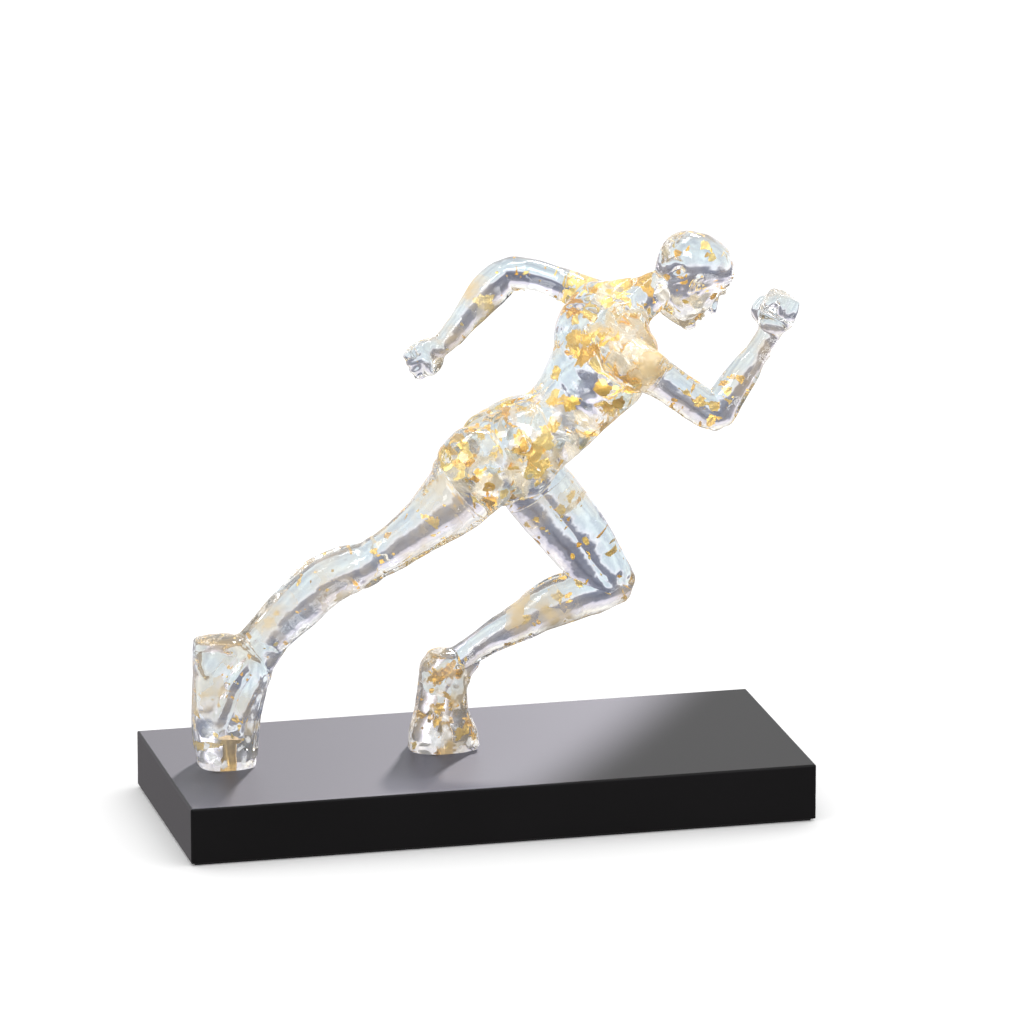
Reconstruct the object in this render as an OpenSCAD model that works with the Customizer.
// Figure trophy: a clear resin sprinter on a black rectangular plinth.
// +X is the running direction, +Y the runner's left and +Z up. The origin is the middle of the underside.

/* [Plinth] */
// Length of the plinth block
plinth_l = 280; // [250:5:340]
// Width of the plinth block
plinth_w = 120; // [100:5:160]
// Thickness of the plinth block
plinth_t = 25; // [23:1:32]
// Radius of the eased edges of the plinth block
edge_r = 1; // [0.5:0.25:2]
// Thickness of the felt sheet under the plinth
felt_t = 1; // [0.5:0.25:2]
// Distance from the plinth's edge to the felt's edge
felt_inset = 2; // [1:0.5:6]

/* [Figure] */
// Height of the crown of the head above the plinth
figure_h = 230; // [215:5:230]

/* [Fasteners] */
// Shank diameter of the two socket head screws
screw_d = 4; // [3:1:5]
// Shank length of the screws
screw_l = 25; // [20:1:27]
// Outer diameter of the inserts' barrels
insert_d = 6; // [5.5:0.5:7]
// Length of the inserts, flange included
insert_l = 13; // [11:1:15]
// Diameter of the arms' dowels
arm_dowel_d = 4; // [3:0.5:5]
// Diameter of the legs' dowels
leg_dowel_d = 6; // [4:0.5:8]

/* [Hidden] */
$fn = 48;

sides = 20;                         // points round each limb's section
steps = 3;                          // rings in each span between two stations
top_z = felt_t + plinth_t;          // the surface that the feet stand on
k = figure_h / 230;                 // the stations below are for a figure 230 mm tall
ease = 0.05;                        // gap round a pin, screw or dowel in its hole
gap_end = 0.3;                      // glue space past each end of a dowel

// Feet: where the screws come up through the plinth
right_foot_xy = [-111, 2] * k;
left_foot_xy = [-13, 5] * k;

// Screws, washers and counterbores
head_d = 1.75 * screw_d;
head_h = screw_d;
socket_af = 0.75 * screw_d;
washer_d = 9;
washer_t = 0.8;
counterbore_d = 10.5;
counterbore_h = 10;
washer_top = felt_t + counterbore_h;
flange_d = insert_d + 3;
flange_h = 2;

// Seams: [point on the seam above the plinth, direction in which the limb leaves, dowel diameter, dowel length]
right_shoulder = [[75.5, -27.5, 172] * k, [0.84, -0.12, -0.53], arm_dowel_d, 16];
left_shoulder = [[50, 23, 200.5] * k, [-0.95, 0.25, 0.19], arm_dowel_d, 16];
right_hip = [[-8, -10, 119] * k, [-0.79, 0.05, -0.61], leg_dowel_d, 26];
left_hip = [[31.5, 12, 113] * k, [0.58, -0.08, -0.81], leg_dowel_d, 26];

// Head: the middle of the skull above the plinth, and the axis from chin to crown
head_at = [96.8, -3, 208.3];
head_up = [0.64, 0, 0.77];

// ---- lofts ----------------------------------------------------------------------------------
// A station is [x, y, z, side, over, under, turn]: a point above the plinth, half widths to the
// sides and along the section's two faces, and the section's turn about the limb in degrees.

function unit(v) = v / norm(v);
function at(s) = [s[0], s[1], s[2]];
function span_point(a, b, c, d, t) =
    0.5 * (2 * b + (c - a) * t + (2 * a - 5 * b + 4 * c - d) * t * t + (3 * b - a - 3 * c + d) * t * t * t);
function smooth(s, n) = let (last = len(s) - 1) concat(
    [for (i = [0:last - 1], j = [0:n - 1])
        span_point(s[max(i - 1, 0)], s[i], s[i + 1], s[min(i + 2, last)], j / n)],
    [s[last]]
);
function heading(s, i) = unit(at(s[min(i + 1, len(s) - 1)]) - at(s[max(i - 1, 0)]));

// A round end: rings that close in over `depth` times the mean half width
function dome(s, dir, depth) = [for (a = [25, 50, 75])
    let (r = (s[3] + s[4] + s[5]) / 3 * depth)
    [each at(s) + dir * r * sin(a), s[3] * cos(a), s[4] * cos(a), s[5] * cos(a), s[6]]
];
function flipped(s) = [for (i = [len(s) - 1:-1:0]) s[i]];
function power(x, p) = sign(x) * pow(abs(x), p);

function section(s, dir, n, square) = let (
    lateral = unit([0, 1, 0] - dir * dir[1]),
    face = cross(lateral, dir),
    b = lateral * cos(s[6]) + face * sin(s[6]),
    f = cross(b, dir)
) [for (i = [0:n - 1]) let (
    c = power(cos(360 * i / n), 2 / square),
    q = power(sin(360 * i / n), 2 / square)
) at(s) + b * s[3] * c + f * (q > 0 ? s[4] : s[5]) * q];

module loft(stations, ends = [0.8, 0.8], square = 2) {
    body = smooth(stations, steps);
    last = len(body) - 1;
    first_dir = heading(body, 0);
    last_dir = heading(body, last);
    rings = concat(
        [for (s = flipped(dome(body[0], -first_dir, ends[0]))) section(s, first_dir, sides, square)],
        [for (i = [0:last]) section(body[i], heading(body, i), sides, square)],
        [for (s = dome(body[last], last_dir, ends[1])) section(s, last_dir, sides, square)]
    );
    n = sides;
    m = len(rings);
    polyhedron(
        points = [for (ring = rings, p = ring) p * k],
        faces = concat(
            [[for (i = [n - 1:-1:0]) i]],
            [for (j = [0:m - 2], i = [0:n - 1])
                [j * n + i, j * n + (i + 1) % n, (j + 1) * n + (i + 1) % n, (j + 1) * n + i]],
            [[for (i = [0:n - 1]) (m - 1) * n + i]]
        ),
        convexity = 6
    );
}

// Turns +Z to a direction
module aim(p, dir) {
    translate(p) rotate([0, acos(dir[2] / norm(dir)), atan2(dir[1], dir[0])]) children();
}

module beyond(seam) {
    reach = 400 * k;
    aim(seam[0], seam[1]) translate([-reach / 2, -reach / 2, 0]) cube(reach);
}

module ball(p, r) {
    translate(p * k) scale(r * k) sphere(r = 1, $fn = 16);
}

// ---- figure, above the plinth ---------------------------------------------------------------
module trunk_shape() {
    loft([
        [7, 1, 121, 15, 13, 15, 6],
        [14.5, 0, 130, 21, 20.5, 24, 8],
        [24.5, 0, 139.5, 21.5, 19.3, 21.3, 4],
        [34.5, 0, 145, 19.5, 16.4, 17.4, -4],
        [43, 0, 152.5, 19.5, 16, 17.2, -12],
        [50, 0, 161.5, 22, 16.7, 18, -20],
        [56.5, -1, 171.5, 25, 17.8, 17.5, -28],
        [60, -1, 184, 26.5, 17, 16, -34],
        [65, -2, 194, 21.5, 13, 12.5, -38],
        [70.5, -2, 199, 13, 11.5, 9.5, -30],
        [76.5, -2.5, 202, 9, 9.5, 7.4, -15],
        [84, -3, 206, 8.5, 9, 7, 0],
        [92, -3, 210, 8, 8.5, 7, 0]
    ], [0.6, 0.3], 2.2);
}

function on_head(side, front, height) = head_at
    + [0, side, 0] + cross([0, 1, 0], head_up) * front + head_up * height;

module head_shape() {
    // [height on the head's axis, side, front, back]
    profile = [
        [-18.5, 4.5, 11.5, 3], [-15, 8, 13.5, 8], [-9, 11, 14.5, 13], [-3, 13, 15, 17.5],
        [4, 14.5, 16.2, 19.5], [10, 14.5, 15.5, 19.5], [15, 12.5, 12.5, 16.5], [18.5, 8.5, 8, 10.5]
    ];
    loft([for (p = profile) [each head_at + head_up * p[0], p[1], p[2], p[3], 0]], [0.3, 0.25]);
    // nose
    hull() {
        ball(on_head(0, 14.3, 3), 1.5);
        ball(on_head(0, 16, -4.5), 1.7);
        ball(on_head(-2, 13.5, -5), 1.3);
        ball(on_head(2, 13.5, -5), 1.3);
    }
    // ears
    for (side = [-1, 1]) hull() {
        ball(on_head(13 * side, -1, 2), 2.2);
        ball(on_head(12.5 * side, 0, -4), 1.6);
    }
}

module right_arm_shape() {
    loft([
        [61, -19, 180, 9, 9, 9, 0], [70.5, -26, 175, 9.5, 9.8, 9.5, 0], [79, -29, 169.5, 8, 8.4, 8, 0],
        [87.5, -31, 164, 7.5, 8.8, 7, 0], [96, -33, 157.5, 7, 8.6, 7, 0], [101, -33, 154.3, 6.5, 7.5, 6.5, 0]
    ]);
    loft([
        [101.5, -33, 155, 6.5, 7.4, 6.5, 0], [106, -32, 162, 7.2, 6.8, 7.8, 0],
        [113, -31, 171.5, 6.7, 6.5, 7.2, 0], [120, -29, 180.3, 5.4, 5.4, 5.2, 0],
        [125.5, -27, 187.5, 5, 5.2, 5, 0], [127.5, -26, 191.5, 5.5, 6, 6, 0]
    ]);
    right_fist();
}

module right_fist() {
    loft([
        [125.5, -26.3, 190, 5.5, 6.5, 6.5, 0], [127.2, -26, 194, 8, 7.5, 8.5, 0],
        [129.8, -25.5, 199, 8.5, 7.6, 8.2, 0], [131.8, -25, 203, 7.5, 6.5, 7.2, 0]
    ], [0.3, 0.25], 2.4);
    // curled fingers and the thumb over them
    for (i = [0:3]) ball([122.5 + 1.9 * i, -31 + 3 * i, 196 + 1.4 * i], 3.4);
    hull() {
        ball([120.5, -30.5, 193], 2.6);
        ball([121.5, -23, 192.5], 2.4);
    }
}

module left_arm_shape() {
    loft([
        [61, 14, 196, 9, 9, 9, 0], [53.5, 21, 199, 8.5, 7.5, 8.5, 0], [45, 26, 202, 7.5, 7.2, 7.2, 0],
        [35, 31, 205, 7.2, 7.4, 7.2, 0], [25.5, 34, 206.3, 7, 7.4, 7.6, 0], [21.5, 35, 205.5, 6.5, 7, 7.4, 0]
    ]);
    loft([
        [21, 35, 205.5, 6.8, 6.8, 8, 0], [14.5, 35, 200, 7, 7.2, 9.4, 0], [8, 34, 192.3, 6.5, 6.6, 7.4, 0],
        [1, 33, 184, 5.4, 5.4, 5.8, 0], [-5.5, 32, 177.2, 4.8, 4.8, 5, 0], [-9, 31.5, 174.5, 4.8, 5, 5, 0]
    ]);
    left_fist();
}

module left_fist() {
    loft([
        [-7.5, 31.7, 176, 4.8, 5, 5.4, 0], [-12, 31, 172.6, 7, 6.6, 7, 0],
        [-17.5, 30.5, 169.6, 7.5, 6.8, 7.4, 0], [-21.5, 30, 168.2, 6.5, 5.8, 6.4, 0]
    ], [0.3, 0.4], 2.4);
    for (i = [0:3]) ball([-23.6 + 2.1 * i, 25.5 + 3.1 * i, 167 - 0.8 * i], 3.2);
    hull() {
        ball([-19, 26, 165.5], 2.3);
        ball([-13, 25.5, 167.5], 2.3);
    }
}

module right_leg_shape() {
    loft([
        [9, -7, 133, 14, 16, 15, 0], [-1, -10, 128, 15.5, 22, 18, 0], [-12, -10, 116, 14.5, 16.6, 14.4, 0],
        [-25.5, -9, 105.8, 12.5, 11.2, 11.2, 0], [-39.5, -7, 95.5, 10.2, 9.4, 9.2, 0],
        [-49, -6, 91, 9.5, 9, 10, 0], [-57, -5, 87, 9.6, 10.4, 10, 0], [-68, -4, 81, 10.5, 12.2, 9.8, 0],
        [-80.5, -2, 70.3, 9.5, 11.2, 10.2, 0], [-92, 0, 59.5, 8.4, 9.2, 10, 0], [-102, 1, 50, 8, 8.4, 12, 0]
    ]);
    loft([
        [-112, 1, 57, 8.5, 12, 8, 0], [-112, 1, 53.5, 11, 13.6, 12, 0], [-112, 1, 47, 12, 14, 18, 0],
        [-112, 1, 41, 12.4, 14.2, 19.8, 0], [-112, 1, 33, 12.5, 14.4, 18, 0], [-112, 2, 22, 12.5, 14.6, 15.4, 0],
        [-112, 2, 10, 12, 13.8, 14, 0], [-112, 2, 3, 11.5, 12.2, 13.8, 0], [-112, 2, -3, 11, 11.4, 13, 0]
    ], [0.15, 0], 2.7);
}

module left_leg_shape() {
    loft([
        [25, 12, 121, 14, 14.5, 15, 0], [32, 12, 112, 14.5, 15.6, 17, 0], [44, 10, 95, 13.5, 14.6, 18, 0],
        [55.5, 8, 78, 11.5, 11.4, 14.6, 0], [61, 8, 70.5, 10.5, 9.5, 13, 0], [63.5, 8, 67, 9.5, 8.5, 12, 0]
    ]);
    loft([
        [66, 8, 68, 9.5, 8.5, 8.5, 0], [59, 8, 66.3, 10, 9.8, 10.2, 0], [51.5, 8, 65, 10, 11.2, 10.6, 0],
        [39, 7, 61.5, 9.8, 11.8, 9.8, 0], [30, 7, 58, 9.2, 10.4, 9, 0], [21, 6, 54, 8.2, 8.8, 7.6, 0],
        [8.3, 5, 48, 7, 6.6, 6, 0], [-1, 5, 42.7, 6.3, 5.8, 5.6, 0], [-9, 5, 38, 7, 6.5, 6.5, 0]
    ]);
    loft([
        [-13, 5, 42.6, 7, 7, 7, 0], [-13, 5, 38, 8.5, 9.6, 9, 0], [-13, 5, 33, 9, 10.2, 10.2, 0],
        [-13, 5, 26, 9.5, 10.8, 10.4, 0], [-13, 5, 17, 10.5, 12.6, 10.8, 0], [-13, 5, 7.5, 12, 14.8, 14.4, 0],
        [-13, 5, -2, 12, 15.8, 15.2, 0]
    ], [0.35, 0], 2.4);
}

// The part of a limb that is cast with the trunk
module stub(seam) {
    difference() {
        children();
        beyond(seam);
    }
}

// Clears the trunk away from the limb side of a seam
module collar(seam, r) {
    aim(seam[0], seam[1]) cylinder(r = r * k, h = 20 * k);
}

module below_feet() {
    reach = 400 * k;
    translate([-reach / 2, -reach / 2, -reach]) cube(reach);
}

// One closed skin from several shapes. A resize to nothing keeps their size.
module skin() {
    resize([0, 0, 0]) union() children();
}

module limb(seam) {
    skin() difference() {
        intersection() {
            union() children();
            beyond(seam);
        }
        below_feet();
    }
}

module dowel(seam, grow = 0, longer = 0) {
    aim(seam[0], seam[1]) cylinder(d = seam[2] + 2 * grow, h = seam[3] + 2 * longer, center = true);
}

module drilled(seam) {
    difference() {
        children();
        dowel(seam, ease, gap_end);
    }
}

// ---- castings -------------------------------------------------------------------------------
module resin() {
    color([0.9, 0.93, 0.95, 0.45]) translate([0, 0, top_z]) children();
}

module trunk_casting() {
    resin() difference() {
        skin() difference() {
            union() {
                trunk_shape();
                head_shape();
                stub(right_shoulder) right_arm_shape();
                stub(left_shoulder) left_arm_shape();
                stub(right_hip) right_leg_shape();
                stub(left_hip) left_leg_shape();
            }
            collar(right_shoulder, 17);
            collar(left_shoulder, 15);
            collar(right_hip, 26);
            collar(left_hip, 24);
        }
        for (seam = [right_shoulder, left_shoulder, right_hip, left_hip]) dowel(seam, ease, gap_end);
    }
}

module right_arm_casting() {
    resin() drilled(right_shoulder) limb(right_shoulder) right_arm_shape();
}

module left_arm_casting() {
    resin() drilled(left_shoulder) limb(left_shoulder) left_arm_shape();
}

module right_leg_casting() {
    resin() difference() {
        drilled(right_hip) limb(right_hip) right_leg_shape();
        insert_solid(right_foot_xy);
    }
}

module left_leg_casting() {
    resin() difference() {
        drilled(left_hip) limb(left_hip) left_leg_shape();
        insert_solid(left_foot_xy);
    }
}

// ---- dowels, inserts, screws and washers -----------------------------------------------------
module clear_dowel(seam) {
    color([0.85, 0.9, 0.95, 0.5]) translate([0, 0, top_z]) dowel(seam);
}

module insert_solid(xy) {
    translate([xy[0], xy[1], 0]) {
        cylinder(d = insert_d, h = insert_l);
        translate([0, 0, insert_l - flange_h]) cylinder(d = flange_d, h = flange_h);
    }
}

module foot_insert(xy) {
    color([0.78, 0.6, 0.25]) translate([0, 0, top_z]) difference() {
        insert_solid(xy);
        translate([xy[0], xy[1], -1]) cylinder(d = screw_d + 2 * ease, h = insert_l - flange_h / 2 + 1);
    }
}

module foot_screw(xy) {
    head_top = washer_top - washer_t;
    color([0.6, 0.6, 0.62]) translate([xy[0], xy[1], head_top]) difference() {
        union() {
            cylinder(d = screw_d, h = screw_l);
            translate([0, 0, -head_h]) cylinder(d = head_d, h = head_h);
        }
        translate([0, 0, -head_h - 1])
            cylinder(d = socket_af / cos(30), h = 1 + head_h * 0.55, $fn = 6);
    }
}

module foot_washer(xy) {
    color([0.75, 0.75, 0.77]) translate([xy[0], xy[1], washer_top - washer_t]) difference() {
        cylinder(d = washer_d, h = washer_t);
        translate([0, 0, -1]) cylinder(d = screw_d + 0.3, h = washer_t + 2);
    }
}

// ---- plinth ---------------------------------------------------------------------------------
module eased_square(a, b, r) {
    square([a - 2 * r, b], center = true);
    square([a, b - 2 * r], center = true);
    for (x = [-1, 1], y = [-1, 1]) translate([x * (a / 2 - r), y * (b / 2 - r)]) circle(r = r);
}

module eased_block(l, w, t, r) {
    translate([0, 0, t / 2]) intersection() {
        linear_extrude(height = t, center = true) eased_square(l, w, r);
        rotate([90, 0, 0]) linear_extrude(height = w, center = true) eased_square(l, t, r);
        rotate([90, 0, 90]) linear_extrude(height = l, center = true) eased_square(w, t, r);
    }
}

module plinth_block() {
    color([0.09, 0.09, 0.1]) difference() {
        translate([0, 0, felt_t]) eased_block(plinth_l, plinth_w, plinth_t, edge_r);
        for (xy = [right_foot_xy, left_foot_xy]) translate([xy[0], xy[1], 0]) {
            cylinder(d = screw_d + 0.5, h = top_z + 1);
            cylinder(d = counterbore_d, h = washer_top);
        }
    }
}

module felt_sheet() {
    color([0.12, 0.12, 0.12]) difference() {
        translate([felt_inset - plinth_l / 2, felt_inset - plinth_w / 2, 0])
            cube([plinth_l - 2 * felt_inset, plinth_w - 2 * felt_inset, felt_t]);
        for (xy = [right_foot_xy, left_foot_xy])
            translate([xy[0], xy[1], -1]) cylinder(d = counterbore_d + 2, h = felt_t + 2);
    }
}

plinth_block();
felt_sheet();
trunk_casting();
right_arm_casting();
left_arm_casting();
right_leg_casting();
left_leg_casting();
clear_dowel(right_shoulder);  // right_shoulder_dowel
clear_dowel(left_shoulder);  // left_shoulder_dowel
clear_dowel(right_hip);  // right_hip_dowel
clear_dowel(left_hip);  // left_hip_dowel
foot_insert(right_foot_xy);  // right_foot_insert
foot_insert(left_foot_xy);  // left_foot_insert
foot_screw(right_foot_xy);  // right_foot_screw
foot_screw(left_foot_xy);  // left_foot_screw
foot_washer(right_foot_xy);  // right_foot_washer
foot_washer(left_foot_xy);  // left_foot_washer
